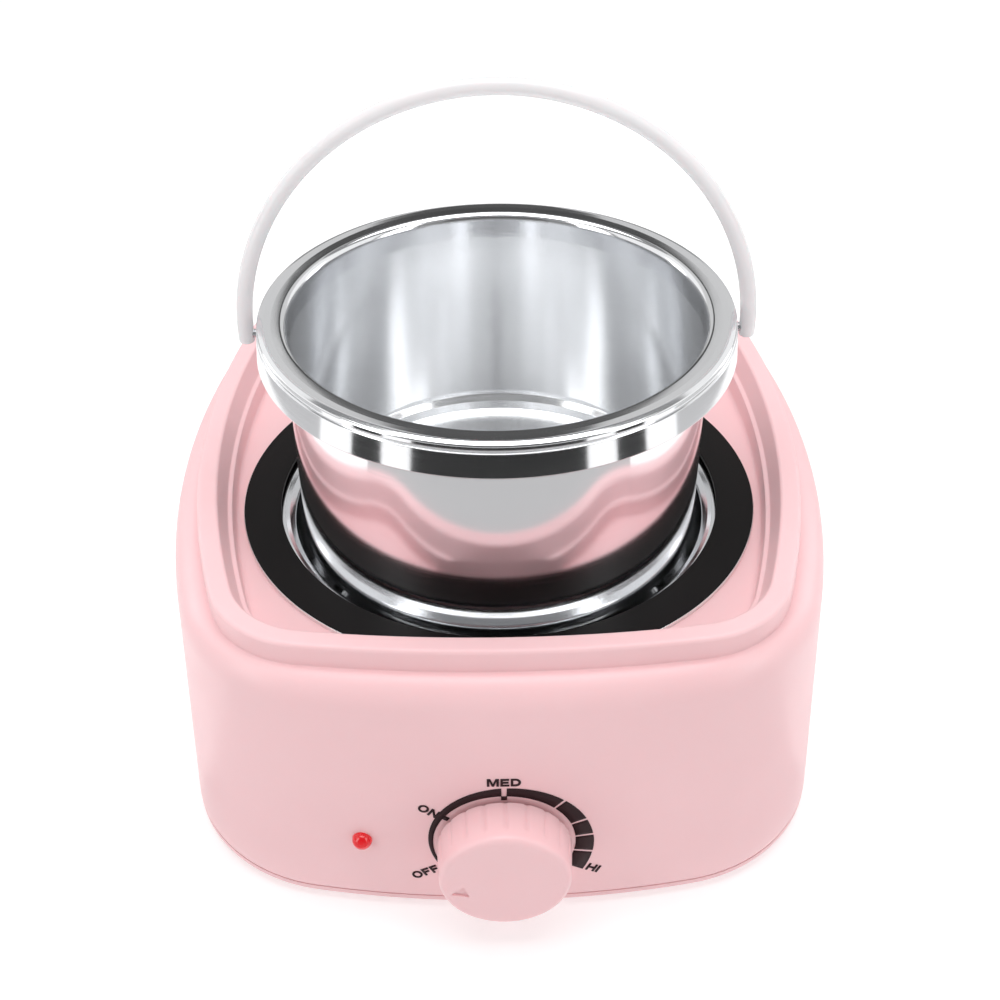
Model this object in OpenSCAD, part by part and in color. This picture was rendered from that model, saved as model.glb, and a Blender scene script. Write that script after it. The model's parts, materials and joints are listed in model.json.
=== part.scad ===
// Tabletop wax warmer: a D-shaped housing with a heated well, a lift-out aluminium wax pot with a
// folding bail handle, a fluted temperature knob, a dial ring and a red pilot lamp.
// Lengths are millimetres. Z = 0 is the surface the feet stand on and the front faces -Y.

/* [Housing] */
// Plan radii at the foot: front wall, front corners, side walls, back corners
foot_radii = [319, 52.9, 277.5, 52]; // [20:0.1:500]
// Degrees the front arc runs, and how far the side arcs run ahead of and behind sideways, at the foot
foot_turns = [10.4, 14.8, 14]; // [4:0.1:24]
// The same radii at the top of the wall, where the shoulder starts
top_radii = [324.5, 49.5, 278.7, 51.7]; // [20:0.1:500]
// The same turns at the top of the wall
top_turns = [9.6, 15.9, 13.7]; // [4:0.1:24]
// The same radii round the raised lip
lip_radii = [405, 32.3, 281, 43]; // [20:0.1:500]
// The same turns round the raised lip
lip_turns = [8, 17.6, 12.4]; // [4:0.1:24]
// Distance of the front wall ahead of the well axis
front_out = 96.6; // [90:0.1:110]
// Distance of the lip's front ahead of the well axis
lip_front = 88.5; // [84:0.1:100]
// Height of the wall's top, where the shoulder starts
wall_top = 82.5; // [70:0.5:90]
// Height of the top of the raised lip
lip_top = 100; // [88:0.5:120]
// Height of the raised lip above the shoulder
lip_h = 7.3; // [3:0.1:12]
// Width of the raised lip's flat top
lip_w = 6.1; // [3:0.1:10]
// Wall thickness of the housing
wall_t = 2.6; // [1.6:0.1:4]

/* [Deck and well] */
// Height of the top of the black deck ring
deck_z = 88; // [70:0.5:100]
// Outer radius of the deck ring
deck_ring_r = 81.4; // [74:0.1:84]
// Inner radius of the deck ring, which covers the edge of the well
deck_ring_in = 69.6; // [66:0.1:72]
// Thickness of the deck ring
deck_ring_t = 1.2; // [0.8:0.1:3]
// Inner radius of the heated well
well_r = 64.5; // [50:0.1:68]
// Wall thickness of the well
well_t = 1.2; // [0.8:0.1:2.5]
// Outer radius of the well's rim flange
flange_r = 71.2; // [60:0.1:74]
// Height of the well's floor inside
well_floor = 21; // [18:0.5:40]

/* [Wax pot] */
// Outer radius of the pot's wall
pot_r = 62.8; // [45:0.1:64]
// Wall thickness of the pot
pot_t = 1.5; // [1:0.1:3]
// Height of the pot
pot_h = 76.6; // [50:0.1:90]
// Outer radius of the rim skirt
rim_r = 70.8; // [60:0.1:72]
// Height of the rim skirt
skirt_h = 10.5; // [6:0.1:16]
// How high the pot is held above its seat
pot_raise = 55.9; // [0:0.1:80]
// Gap left under the skirt when the pot is seated
seat_gap = 0.4; // [0.3:0.1:1]

/* [Bail handle] */
// Radius of the bail's centreline
bail_r = 74.3; // [66:0.1:80]
// Radius of the bail's round section
bail_t = 2.35; // [2:0.05:4]
// Distance of the pivots below the rim's top
pivot_drop = 7.8; // [4:0.1:10]
// Radius of the pivot pins
pin_r = 1.3; // [1:0.1:2]

/* [Controls] */
// Height of the knob's axis
knob_z = 30.7; // [24:0.1:50]
// Radius of the knob at its back edge
knob_r = 19.8; // [12:0.1:24]
// How much narrower the knob is at its face
knob_taper = 0.9; // [0:0.1:4]
// Length of the knob
knob_l = 13.2; // [11:0.1:24]
// Gap between the knob and the front wall
knob_gap = 1.2; // [0.8:0.1:3]
// Number of grip flutes round the knob
flutes = 20; // [12:1:48]
// Angle of the pointer from the top at OFF, anticlockwise
off_angle = 107; // [90:1:150]
// Radius of the thermostat shaft
shaft_r = 3; // [2:0.5:4]
// Inner radius of the printed dial arc
dial_r = 20.9; // [20:0.1:26]
// Sideways place of the pilot lamp
lamp_x = -41.8; // [-50:0.1:50]
// Height of the pilot lamp
lamp_z = 30.3; // [20:0.1:60]
// Radius of the pilot lamp's lens
lamp_r = 3; // [2:0.1:5]

/* [Base] */
// Height of the base plate's underside, which the feet stand it at
base_z = 2.2; // [1:0.1:6]
// Thickness of the base plate
base_t = 3; // [1.6:0.1:4]
// Radius of the rubber feet
foot_r = 8.5; // [5:0.5:12]
// Bore radius of the cord gland
gland_bore = 3.6; // [2.5:0.1:5]
// Height of the cord gland's centre
gland_z = 18; // [14:0.5:40]

/* [Hidden] */
$fn = 96;
foot_z = 5;
// Where the back corners meet the back wall, in degrees behind sideways.
back_turn = 78;
shoulder_top = lip_top - lip_h;
front_y = -front_out;
back_face = back_of(foot_radii, foot_turns, front_out);
base_top = base_z + base_t;
deck_top = deck_z - deck_ring_t;
deck_t = 2.4;
deck_low = deck_top - deck_t;
well_out = well_r + well_t;
flange_low = deck_low - 0.05;
flange_top = flange_low + 1.1;
skirt_low = deck_z + seat_gap + pot_raise;
rim_top = skirt_low + skirt_h;
pot_low = rim_top - pot_h;
pivot_z = rim_top - pivot_drop;
knob_back = front_y - knob_gap;
knob_face = knob_back - knob_l;
wall_inner = front_y + wall_t;
pad_y = wall_inner + 0.8;
flute_lean = atan2(knob_taper, knob_l - 1.5);
lamp_y = front_y + foot_radii[0] - sqrt(foot_radii[0] * foot_radii[0] - lamp_x * lamp_x);
gland_t = 2.6;
// The whole object is centred front to back between the knob's face and the cord gland.
shift_y = -(knob_face + back_face + gland_t + 0.1) / 2;
band_low = 30;
band_h = 32;
boss_r = 4.6;
wire_ring = 84;
block_wire_z = base_top + 6.55;
foot_places = [[-70, -60], [70, -60], [-74, 76], [74, 76]];

pink = [0.96, 0.79, 0.81];
steel = [0.72, 0.73, 0.75];
alu = [0.85, 0.86, 0.88];

// ---- shared shapes ----
function arc_points(c, r, a0, a1, n, skip = 0) =
    [for (i = [skip:n - skip]) let (a = a0 + (a1 - a0) * i / n) [c[0] + r * cos(a), c[1] + r * sin(a)]];

function along(a) = [cos(a), sin(a)];

// Centres of the front, front corner, side, back corner and back arcs of a plan, then the back radius.
function plan_arcs(r, turns, front) =
    let (
        c_front = [0, r[0] - front],
        c_corner = c_front + (r[0] - r[1]) * along(turns[0] - 90),
        c_side = c_corner + (r[1] - r[2]) * along(-turns[1]),
        c_back = c_side + (r[2] - r[3]) * along(turns[2]),
        back_r = r[3] + c_back[0] / cos(back_turn)
    )
    [c_front, c_corner, c_side, c_back, [0, c_back[1] + (r[3] - back_r) * sin(back_turn)], back_r];

function back_of(r, turns, front) = let (c = plan_arcs(r, turns, front)) c[4][1] + c[5];

function chain(c, r, a0, a1, n) = [for (i = [1:n]) c + r * along(a0 + (a1 - a0) * i / n)];

// A D-shaped plan of tangent arcs, drawn in by k millimetres and run anticlockwise from the front.
function plan_points(r, turns, front, k) =
    let (
        c = plan_arcs(r, turns, front),
        half = concat(
            [[0, k - front]],
            chain(c[0], r[0] - k, -90, turns[0] - 90, 5),
            chain(c[1], r[1] - k, turns[0] - 90, -turns[1], 12),
            chain(c[2], r[2] - k, -turns[1], turns[2], 5),
            chain(c[3], r[3] - k, turns[2], back_turn, 11),
            chain(c[4], c[5] - k, back_turn, 90, 3)
        ),
        last = len(half) - 1
    )
    concat(half, [for (i = [last - 1:-1:1]) [-half[i][0], half[i][1]]]);

function foot(k) = plan_points(foot_radii, foot_turns, front_out, k);
function wall_head(k) = plan_points(top_radii, top_turns, front_out, k);
function lip(k) = plan_points(lip_radii, lip_turns, lip_front, k);
function mix(a, b, w) = [for (i = [0:len(a) - 1]) a[i] * (1 - w) + b[i] * w];

// The wall's plan at height z, as a level of a skin. Its sides draw in with height.
function wall(k, z) = [mix(foot(k), wall_head(k), (z - foot_z) / (wall_top - foot_z)), z];

// A closed skin through levels from bottom to top, each given as [plan, height].
module skin(levels) {
    n = len(levels[0][0]);
    top = len(levels) - 1;
    polyhedron(
        points = [for (l = levels) for (p = l[0]) [p[0], p[1], l[1]]],
        faces = concat(
            [[for (i = [0:n - 1]) i]],
            [for (j = [0:top - 1]) for (i = [0:n - 1]) let (i1 = (i + 1) % n)
                [j * n + i, (j + 1) * n + i, (j + 1) * n + i1, j * n + i1]],
            [[for (i = [n - 1:-1:0]) top * n + i]]
        )
    );
}

// A round bar from one point to another.
module rod(a, b, r) {
    d = b - a;
    len = norm(d);
    translate(a) rotate([0, acos(d[2] / len), atan2(d[1], d[0])]) cylinder(h = len, r = r, $fn = 24);
}

// A small ball where a wire turns.
module bend(p) {
    translate(p) sphere(r = 1.25, $fn = 24);
}

// A crimped sleeve where a curved run of wire ends.
module sleeve(p) {
    translate([p[0], p[1], p[2] - 1.6]) cylinder(h = 3.2, r = 1.5, $fn = 24);
}

// A wire through a list of points, with a ball at every bend.
module wire(points, r) {
    for (i = [0:len(points) - 2]) rod(points[i], points[i + 1], r);
    if (len(points) > 2) for (i = [1:len(points) - 2]) bend(points[i]);
}

// A cylinder whose axis runs front to back, from y0 to the larger y1.
module along_y(x, z, y0, y1, r) {
    translate([x, y1, z]) rotate([90, 0, 0]) cylinder(h = y1 - y0, r = r);
}

// ---- housing ----
module housing() {
    color(pink) difference() {
        union() {
            difference() {
                skin(concat(
                    [wall(0, base_top), wall(0, wall_top)],
                    [for (i = [1:5]) let (a = i * 18)
                        [mix(wall_head(0), lip(0), 1 - cos(a)), wall_top + (shoulder_top - wall_top) * sin(a)]],
                    [[lip(0), lip_top - 1.2], [lip(0.35), lip_top - 0.37], [lip(1.2), lip_top]]
                ));
                skin([wall(wall_t, base_top - 1), wall(wall_t, deck_low)]);
                difference() {
                    skin([wall(5.2, deck_low - 1), wall(5.2, 89.5)]);
                    skin([[lip(3.3), deck_low - 2], [lip(3.3), 90.5]]);
                }
                skin([[lip(lip_w + 4.6), deck_top], [lip(lip_w + 4), 92.9], [lip(lip_w + 2.6), 93.5],
                    [lip(lip_w + 0.4), lip_top - 0.9], [lip(lip_w - 0.4), lip_top], [lip(lip_w - 0.4), lip_top + 1]]);
                translate([0, 0, deck_top]) cylinder(h = 20, r = deck_ring_r + 0.3, $fn = 160);
            }
            for (p = foot_places) translate([p[0], p[1], base_top + 0.1]) cylinder(h = deck_low - base_top, r = boss_r);
            along_y(0, knob_z, front_y + 1.2, pad_y, 11);
        }
        cylinder(h = 200, r = flange_r + 0.4, $fn = 160);
        for (p = foot_places) translate([p[0], p[1], base_top - 1]) cylinder(h = 15, r = 1.5);
        for (a = [90, 210, 330]) rotate([0, 0, a]) translate([75, 0, deck_low - 1]) cylinder(h = 2.6, r = 1.25);
        along_y(0, knob_z, front_y - 5, pad_y + 5, 5);
        along_y(lamp_x, lamp_z, front_y - 5, front_y + 12, lamp_r + 0.1);
        along_y(0, gland_z, back_face - 12, back_face + 5, 6.6);
    }
}

module base_plate() {
    color(pink) difference() {
        union() {
            skin([[foot(1.8), base_z], [foot(0.7), base_z + 0.6], [foot(0.1), base_z + 1.4], [foot(0.1), base_top]]);
            difference() {
                skin([wall(wall_t + 0.4, base_top - 0.5), wall(wall_t + 0.4, base_top + 4)]);
                skin([wall(wall_t + 2.4, base_top - 1), wall(wall_t + 2.4, base_top + 5)]);
            }
        }
        for (p = foot_places) translate([p[0], p[1], 0]) {
            cylinder(h = 20, r = 1.9);
            cylinder(h = base_z + 1.2, r = foot_r + 0.2);
        }
        for (p = foot_places) translate([p[0], p[1], base_top]) cylinder(h = 5, r = boss_r + 0.4);
        for (s = [-1, 1]) for (i = [-3:3]) translate([i * 8, s * 36, 0]) {
            translate([-1.6, -13, 0]) cube([3.2, 26, 20]);
            for (e = [-1, 1]) translate([0, e * 13, 0]) cylinder(h = 20, r = 1.6, $fn = 24);
        }
    }
}

module rubber_feet() {
    color([0.16, 0.15, 0.15]) for (p = foot_places) translate([p[0], p[1], 0]) rotate_extrude()
        polygon([[4.3, 0], [foot_r - 1.2, 0], [foot_r - 0.35, 0.35], [foot_r, 1.2], [foot_r, base_z + 1.1],
            [1.9, base_z + 1.1], [1.9, 1.9], [4.3, 1.9]]);
}

module base_screws() {
    color(steel) for (p = foot_places) translate([p[0], p[1], 0]) difference() {
        union() {
            translate([0, 0, 0.55]) cylinder(h = 1.3, r = 3.7);
            translate([0, 0, 1.85]) cylinder(h = 15, r = 1.45);
        }
        for (a = [0, 90]) rotate([0, 0, a]) translate([-2.1, -0.4, 0]) cube([4.2, 0.8, 1.25]);
    }
}

// ---- deck, well and heater ----
module deck_ring() {
    color([0.07, 0.06, 0.06]) translate([0, 0, deck_top]) difference() {
        cylinder(h = deck_ring_t, r = deck_ring_r, $fn = 160);
        translate([0, 0, -1]) cylinder(h = deck_ring_t + 2, r = deck_ring_in, $fn = 160);
    }
}

module heating_well() {
    color(alu) rotate_extrude($fn = 160) polygon(concat(
        [[0, well_floor - 1.8]],
        arc_points([well_out - 5.2, well_floor + 3.4], 5.2, 270, 360, 6),
        [[well_out, flange_low - 3.7], [well_out + 2.8, flange_low], [flange_r, flange_low],
            [flange_r, flange_top - 0.25], [flange_r - 0.25, flange_top], [well_r + 4.1, flange_top],
            [well_r + 3.5, flange_top - 0.25], [well_r + 2.9, flange_top - 0.8], [well_r + 1.7, flange_top - 1.8],
            [well_r + 0.7, flange_top - 2.9], [well_r + 0.15, flange_top - 3.9], [well_r, flange_top - 4.8]],
        arc_points([well_r - 4, well_floor + 4], 4, 360, 270, 6),
        [[0, well_floor]]
    ));
}

module well_retainer() {
    color(steel) translate([0, 0, deck_low - 2]) difference() {
        cylinder(h = 1.9, r = 79);
        translate([0, 0, -1]) cylinder(h = 4, r = well_out + 3);
        for (a = [90, 210, 330]) rotate([0, 0, a]) translate([75, 0, -1]) cylinder(h = 4, r = 1.4);
    }
}

module retainer_screws() {
    color(steel) for (a = [90, 210, 330]) rotate([0, 0, a]) translate([75, 0, deck_low - 3.5]) difference() {
        union() {
            cylinder(h = 1.45, r = 2.6);
            cylinder(h = 4.9, r = 1.2);
        }
        translate([-1.6, -0.35, -1]) cube([3.2, 0.7, 1.6]);
    }
}

module heater_band() {
    color([0.62, 0.58, 0.5]) difference() {
        union() {
            difference() {
                translate([0, 0, band_low]) cylinder(h = band_h, r = well_out + 2.4);
                translate([0, 0, band_low - 1]) cylinder(h = band_h + 2, r = well_out + 0.15);
                translate([-4, 0, band_low - 1]) cube([8, 100, band_h + 2]);
            }
            for (s = [-1, 1]) translate([s * 5.5 - 1, well_out + 0.6, band_low + 8]) cube([2, 12, 16]);
        }
        translate([-20, well_out + 8.2, band_low + 16]) rotate([0, 90, 0]) cylinder(h = 40, r = 2.1);
    }
}

module heater_clamp_bolt() {
    color(steel) translate([0, well_out + 8.2, band_low + 16]) rotate([0, 90, 0]) {
        translate([0, 0, -9.5]) cylinder(h = 19, r = 1.95);
        translate([0, 0, -9.6]) cylinder(h = 3, r = 3.6);
        translate([0, 0, 6.6]) linear_extrude(height = 2.6)
            polygon([for (i = [0:5]) [4 * cos(60 * i), 4 * sin(60 * i)]]);
    }
}

module insulation_blanket() {
    color([0.86, 0.85, 0.8]) difference() {
        translate([0, 0, band_low - 2]) cylinder(h = band_h + 6, r = 75.5);
        translate([0, 0, band_low - 3]) cylinder(h = band_h + 8, r = well_out + 2.6);
        translate([-16, 0, band_low - 3]) cube([32, 100, band_h + 8]);
    }
}

module thermal_fuse() {
    color([0.8, 0.76, 0.66]) rotate([0, 0, -140]) translate([well_out + 3.2, 0, 72]) {
        translate([0, 7, 0]) rotate([90, 0, 0]) cylinder(h = 14, r = 2);
        translate([0, 11, 0]) rotate([90, 0, 0]) cylinder(h = 22, r = 0.5);
    }
}

module fuse_clip() {
    color(steel) rotate([0, 0, -140]) translate([well_out + 0.35, -2.5, 67.5]) difference() {
        cube([5.6, 5, 12.3]);
        translate([2.85, 6, 4.5]) rotate([90, 0, 0]) cylinder(h = 7, r = 2.05);
        translate([1.2, -1, 7.6]) cube([5, 7, 6]);
    }
}

// ---- controls ----
module thermostat_body() {
    color([0.9, 0.88, 0.83]) difference() {
        union() {
            translate([-15, pad_y + 1.6, knob_z - 13]) cube([30, 12.4, 26]);
            along_y(0, knob_z, front_y - 4, pad_y + 2, 4.8);
            for (s = [-1, 1]) translate([s * 16 - 1.5, pad_y + 5, knob_z - 9]) cube([3, 1, 6]);
        }
        along_y(0, knob_z, front_y - 5, pad_y + 5, shaft_r + 0.06);
        along_y(0, knob_z, pad_y + 3, pad_y + 12, 6);
    }
}

module thermostat_bracket() {
    color(steel) difference() {
        union() {
            translate([-17, pad_y + 0.1, knob_z - 15]) cube([34, 1.4, 30]);
            for (s = [-1, 1]) translate([s * 16.3 - 0.7, pad_y + 0.1, knob_z + 2]) cube([1.4, 9, 13]);
        }
        along_y(0, knob_z, pad_y - 2, pad_y + 4, 4.9);
    }
}

module bushing_nut() {
    color(steel) difference() {
        translate([0, front_y - 0.1, knob_z]) rotate([90, 0, 0]) linear_extrude(height = 2.4)
            polygon([for (i = [0:5]) [8 * cos(60 * i + 30), 8 * sin(60 * i + 30)]]);
        along_y(0, knob_z, front_y - 5, front_y + 2, 4.9);
    }
}

module thermostat_shaft() {
    color(steel) difference() {
        union() {
            along_y(0, knob_z, knob_face + 3.6, pad_y + 10, shaft_r);
            along_y(0, knob_z, pad_y + 5.5, pad_y + 8.5, 5);
        }
        rotate_knob() translate([-5, 1.5, 4.5]) cube([10, 5, 30]);
    }
}

// Places a shape drawn with its axis along +Z, the wall at Z = 0 and +Y upward, on the front wall.
module on_front() {
    translate([0, front_y, knob_z]) rotate([90, 0, 0]) children();
}

// The same, turned so that +Y is where the pointer stands.
module rotate_knob() {
    on_front() rotate([0, 0, off_angle]) children();
}

module control_knob() {
    z0 = knob_gap;
    z1 = knob_gap + knob_l;
    color(pink) rotate_knob() difference() {
        rotate_extrude() polygon(concat(
            [[0, z0 + 4.4], [6, z0 + 4.4], [6, z1 - 2.2], [knob_r - 3.4, z1 - 2.2], [knob_r - 2.3, z0],
                [knob_r, z0]],
            arc_points([knob_r - knob_taper - 1.9, z1 - 1.9], 1.9, 5, 90, 7),
            [[0, z1]]
        ));
        for (i = [0:flutes - 1]) rotate([0, 0, 360 * i / flutes])
            translate([knob_r + 0.55, 0, z0 - 1]) rotate([0, -flute_lean, 0])
                cylinder(h = knob_l - 3.5, r = 0.95, $fn = 20);
        difference() {
            translate([0, 0, z0]) cylinder(h = knob_l - 3.4, r = shaft_r + 0.05);
            translate([-5, 1.55, z0]) cube([10, 5, 20]);
        }
        translate([0, 0, z0 + 8.7]) rotate_extrude() polygon([[4.4, 0], [5, 0], [5, 1.2], [4.4, 1.2]]);
        translate([0, 0, z1 - 0.7]) linear_extrude(height = 2) polygon([[0, 16.3], [-2.6, 11.6], [2.6, 11.6]]);
    }
}

module knob_clip() {
    color(steel) on_front() translate([0, 0, knob_gap + 6]) difference() {
        cylinder(h = 1.2, r = 6.9);
        translate([0, 0, -1]) cylinder(h = 4, r = 6.05);
        translate([-1.5, 0, -1]) cube([3, 20, 4]);
    }
}

// The printed arc is thin where it is OFF and widens towards HI, broken by gaps, with a tick inside
// it at ON and at MED. Each stop is [from, to, thickness at from, thickness at to].
module dial_ring() {
    stops = [[-120, -2, 0.7, 3.2], [2, 43, 3.2, 4.1], [45, 67.6, 4.2, 4.8], [69.6, 83.5, 4.8, 5.2],
        [85.5, 100.5, 5.3, 5.6], [102.5, 119.7, 5.6, 5.9]];
    color([0.26, 0.17, 0.18]) intersection() {
        difference() {
            skin([wall(-0.25, base_top), wall(-0.25, wall_top)]);
            skin([wall(0, base_top - 1), wall(0, wall_top + 1)]);
        }
        translate([0, front_y + 10, knob_z]) rotate([90, 0, 0]) linear_extrude(height = 20) union() {
            for (s = stops) polygon(concat(
                [for (i = [0:8]) let (a = 90 - s[0] - (s[1] - s[0]) * i / 8) [dial_r * cos(a), dial_r * sin(a)]],
                [for (i = [8:-1:0]) let (a = 90 - s[0] - (s[1] - s[0]) * i / 8, r = dial_r + s[2] + (s[3] - s[2]) * i / 8)
                    [r * cos(a), r * sin(a)]]
            ));
            for (a = [56.5, 0]) rotate([0, 0, a]) translate([-0.8, dial_r - 1.6]) square([1.6, 1.4]);
        }
    }
}

module indicator_lens() {
    y0 = lamp_y;
    color([0.8, 0.05, 0.08]) difference() {
        union() {
            along_y(lamp_x, lamp_z, y0 - 0.8, y0 + 9, lamp_r);
            intersection() {
                translate([lamp_x, y0 - 0.4, lamp_z]) sphere(r = lamp_r);
                translate([lamp_x - 5, y0 - 8, lamp_z - 5]) cube([10, 8, 10]);
            }
        }
        along_y(lamp_x, lamp_z, y0 + 0.4, y0 + 10, 2.1);
    }
}

module indicator_lamp() {
    y0 = lamp_y + 1.4;
    color([0.95, 0.5, 0.25]) union() {
        along_y(lamp_x, lamp_z, y0, y0 + 10, 1.8);
        for (s = [-1, 1]) along_y(lamp_x + s * 0.8, lamp_z, y0 + 9, y0 + 16, 0.4);
    }
}

module indicator_collar() {
    y0 = lamp_y;
    color([0.12, 0.12, 0.12]) difference() {
        along_y(lamp_x, lamp_z, y0 + 3.7, y0 + 6.7, 5.4);
        along_y(lamp_x, lamp_z, y0 + 2, y0 + 8, lamp_r + 0.02);
    }
}

// ---- base fittings and wiring ----
module cord_gland() {
    color([0.1, 0.1, 0.1]) difference() {
        union() {
            along_y(0, gland_z, back_face + 0.1, back_face + 0.1 + gland_t, 8.5);
            along_y(0, gland_z, back_face - 6, back_face + 1, 6.4);
            along_y(0, gland_z, back_face - 6, back_face - 3.2, 8.5);
        }
        along_y(0, gland_z, back_face - 10, back_face + 10, gland_bore);
    }
}

module terminal_block() {
    color([0.93, 0.92, 0.88]) translate([-42, 92, base_top + 0.05]) difference() {
        union() {
            cube([26, 11, 3]);
            for (i = [0:2]) translate([1 + i * 8.2, 0, 2]) cube([7.6, 11, 9]);
        }
        for (i = [0:2]) translate([4.8 + i * 8.2, 12, 6.5]) rotate([90, 0, 0]) cylinder(h = 13, r = 1.7);
        for (i = [0:2]) translate([4.8 + i * 8.2, 5.5, 8.5]) cylinder(h = 5, r = 1.8);
    }
}

module terminal_screws() {
    color(steel) for (i = [0:2]) translate([-42 + 4.8 + i * 8.2, 97.5, base_top + 8.6]) difference() {
        cylinder(h = 2.2, r = 1.6);
        translate([-2, -0.3, 1.5]) cube([4, 0.6, 2]);
    }
}

module earth_stud() {
    color(steel) translate([0, 0, 8]) cylinder(h = well_floor - 1.85 - 8, r = 2.4);
}

module earth_tag() {
    color([0.85, 0.7, 0.35]) translate([0, 0, 15.2]) difference() {
        union() {
            cylinder(h = 0.9, r = 5.5);
            translate([-16, -2.5, 0]) cube([16, 5, 0.9]);
        }
        translate([0, 0, -1]) cylinder(h = 3, r = 2.5);
    }
}

module earth_nut() {
    color(steel) translate([0, 0, 11.6]) difference() {
        linear_extrude(height = 3.4) polygon([for (i = [0:5]) [5 * cos(60 * i), 5 * sin(60 * i)]]);
        translate([0, 0, -1]) cylinder(h = 6, r = 2.5);
    }
}

module wire_live() {
    x0 = -37.2;
    y0 = sqrt(wire_ring * wire_ring - x0 * x0);
    color([0.45, 0.25, 0.15]) {
        wire([[x0, 91.6, block_wire_z], [x0, y0, block_wire_z]], 1.1);
        translate([0, 0, block_wire_z]) rotate([0, 0, 90 + atan2(-x0, y0)])
            rotate_extrude(angle = 128, $fn = 96) translate([wire_ring, 0]) circle(r = 1.1, $fn = 24);
        turned = 90 + atan2(-x0, y0) + 128;
        xe = wire_ring * cos(turned);
        ye = wire_ring * sin(turned);
        sleeve([x0, y0, block_wire_z]);
        sleeve([xe, ye, block_wire_z]);
        wire([[xe, ye, block_wire_z], [xe, ye, 25], [-19.5, ye, 25], [-19.5, pad_y + 6, 25]], 1.1);
    }
}

module wire_load() {
    a0 = -64;
    xs = wire_ring * cos(a0);
    ys = wire_ring * sin(a0);
    xe = wire_ring * cos(80);
    ye = wire_ring * sin(80);
    color([0.7, 0.12, 0.1]) {
        wire([[19.5, pad_y + 6, 24], [19.5, ys, 24], [xs, ys, 24]], 1.1);
        sleeve([xs, ys, 24]);
        translate([0, 0, 24]) rotate([0, 0, a0])
            rotate_extrude(angle = 144, $fn = 96) translate([wire_ring, 0]) circle(r = 1.1, $fn = 24);
        sleeve([xe, ye, 24]);
        wire([[xe, ye, 24], [xe, ye, 51.5], [8.4, ye, 51.5], [8.4, 78, 51.5]], 1.1);
    }
}

module wire_neutral() {
    color([0.15, 0.3, 0.65]) wire([[-29, 91.6, block_wire_z], [-29, 84, block_wire_z], [-29, 84, 51.5],
        [-8.4, 84, 51.5], [-8.4, 78, 51.5]], 1.1);
}

module wire_earth() {
    color([0.3, 0.62, 0.25]) wire([[-20.8, 91.6, block_wire_z], [-20.8, 0, block_wire_z],
        [-20.8, 0, 15.65], [-16.1, 0, 15.65]], 1.1);
}

// ---- wax pot ----
module wax_pot() {
    ri = pot_r - pot_t;
    color(alu) translate([0, 0, pot_low]) rotate_extrude($fn = 160) polygon(concat(
        // underside and bottom corner
        [[0, 0.6], [pot_r - 10, 0.6], [pot_r - 10.8, 0]],
        arc_points([pot_r - 5, 5], 5, 270, 360, 6),
        // up the wall to its trimmed edge, down the inside wall and across the floor
        [[pot_r, pot_h - 0.75], [pot_r - 0.4, pot_h - 1.1], [ri, pot_h - 6]],
        arc_points([ri - 3.9, 5.9], 3.9, 360, 270, 7),
        [[0, 2]]
    ));
}

// the rim: a ring with a hanging skirt, crimped round the top of the pot's wall
module pot_rim() {
    color(alu) translate([0, 0, pot_low]) rotate_extrude($fn = 160) polygon(concat(
        // out under the ring, and down and up the skirt
        [[pot_r + 0.05, pot_h - 3.4], [rim_r - 2.6, pot_h - 3.4], [rim_r - 1.4, pot_h - 4.6],
            [rim_r - 1.4, pot_h - skirt_h], [rim_r, pot_h - skirt_h], [rim_r - 0.05, pot_h - 3.4],
            [rim_r - 0.9, pot_h - 2.7], [rim_r - 0.9, pot_h - 2.1], [rim_r - 0.7, pot_h - 1.8]],
        // over the top and in to the wall
        arc_points([rim_r - 2.1, pot_h - 1.4], 1.4, 0, 90, 5),
        arc_points([pot_r - pot_t + 3, pot_h - 2.2], 2.2, 90, 131, 4)
    ));
}

module bail_handle() {
    color([0.9, 0.88, 0.88]) difference() {
        translate([0, 0, pivot_z]) union() {
            rotate([90, 0, 0]) rotate_extrude(angle = 180, $fn = 96) translate([bail_r, 0]) circle(r = bail_t, $fn = 40);
            for (s = [-1, 1]) {
                translate([s * bail_r, 0, -2.2]) cylinder(h = 2.2, r = bail_t, $fn = 40);
                translate([s * bail_r, 0, -2.7]) cylinder(h = 0.5, r1 = bail_t - 0.5, r2 = bail_t, $fn = 40);
            }
        }
        for (s = [-1, 1]) translate([0, 0, pivot_z]) rotate([0, s * 90, 0])
            translate([0, 0, bail_r - bail_t - 1]) cylinder(h = bail_t + 2.1, r = pin_r + 0.05);
    }
}

module bail_pins() {
    color(steel) for (s = [-1, 1]) translate([0, 0, pivot_z]) rotate([0, s * 90, 0])
        translate([0, 0, rim_r - 0.018]) cylinder(h = bail_r + 0.7 - rim_r, r = pin_r);
}

// ---- assembly ----
translate([0, shift_y, 0]) {
    housing();
    base_plate();
    rubber_feet();
    base_screws();
    deck_ring();
    heating_well();
    well_retainer();
    retainer_screws();
    heater_band();
    heater_clamp_bolt();
    insulation_blanket();
    thermal_fuse();
    fuse_clip();
    thermostat_body();
    thermostat_bracket();
    bushing_nut();
    thermostat_shaft();
    control_knob();
    knob_clip();
    dial_ring();
    indicator_lens();
    indicator_lamp();
    indicator_collar();
    cord_gland();
    terminal_block();
    terminal_screws();
    earth_stud();
    earth_nut();
    earth_tag();
    wire_live();
    wire_load();
    wire_neutral();
    wire_earth();
    wax_pot();
    pot_rim();
    bail_handle();
    bail_pins();
}
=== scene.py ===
"""Looks for the wax warmer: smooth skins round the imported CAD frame, materials, light and camera."""
import json
import math

import bmesh
import bpy
from mathutils import Matrix, Vector
from mathutils.geometry import tessellate_polygon


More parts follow.
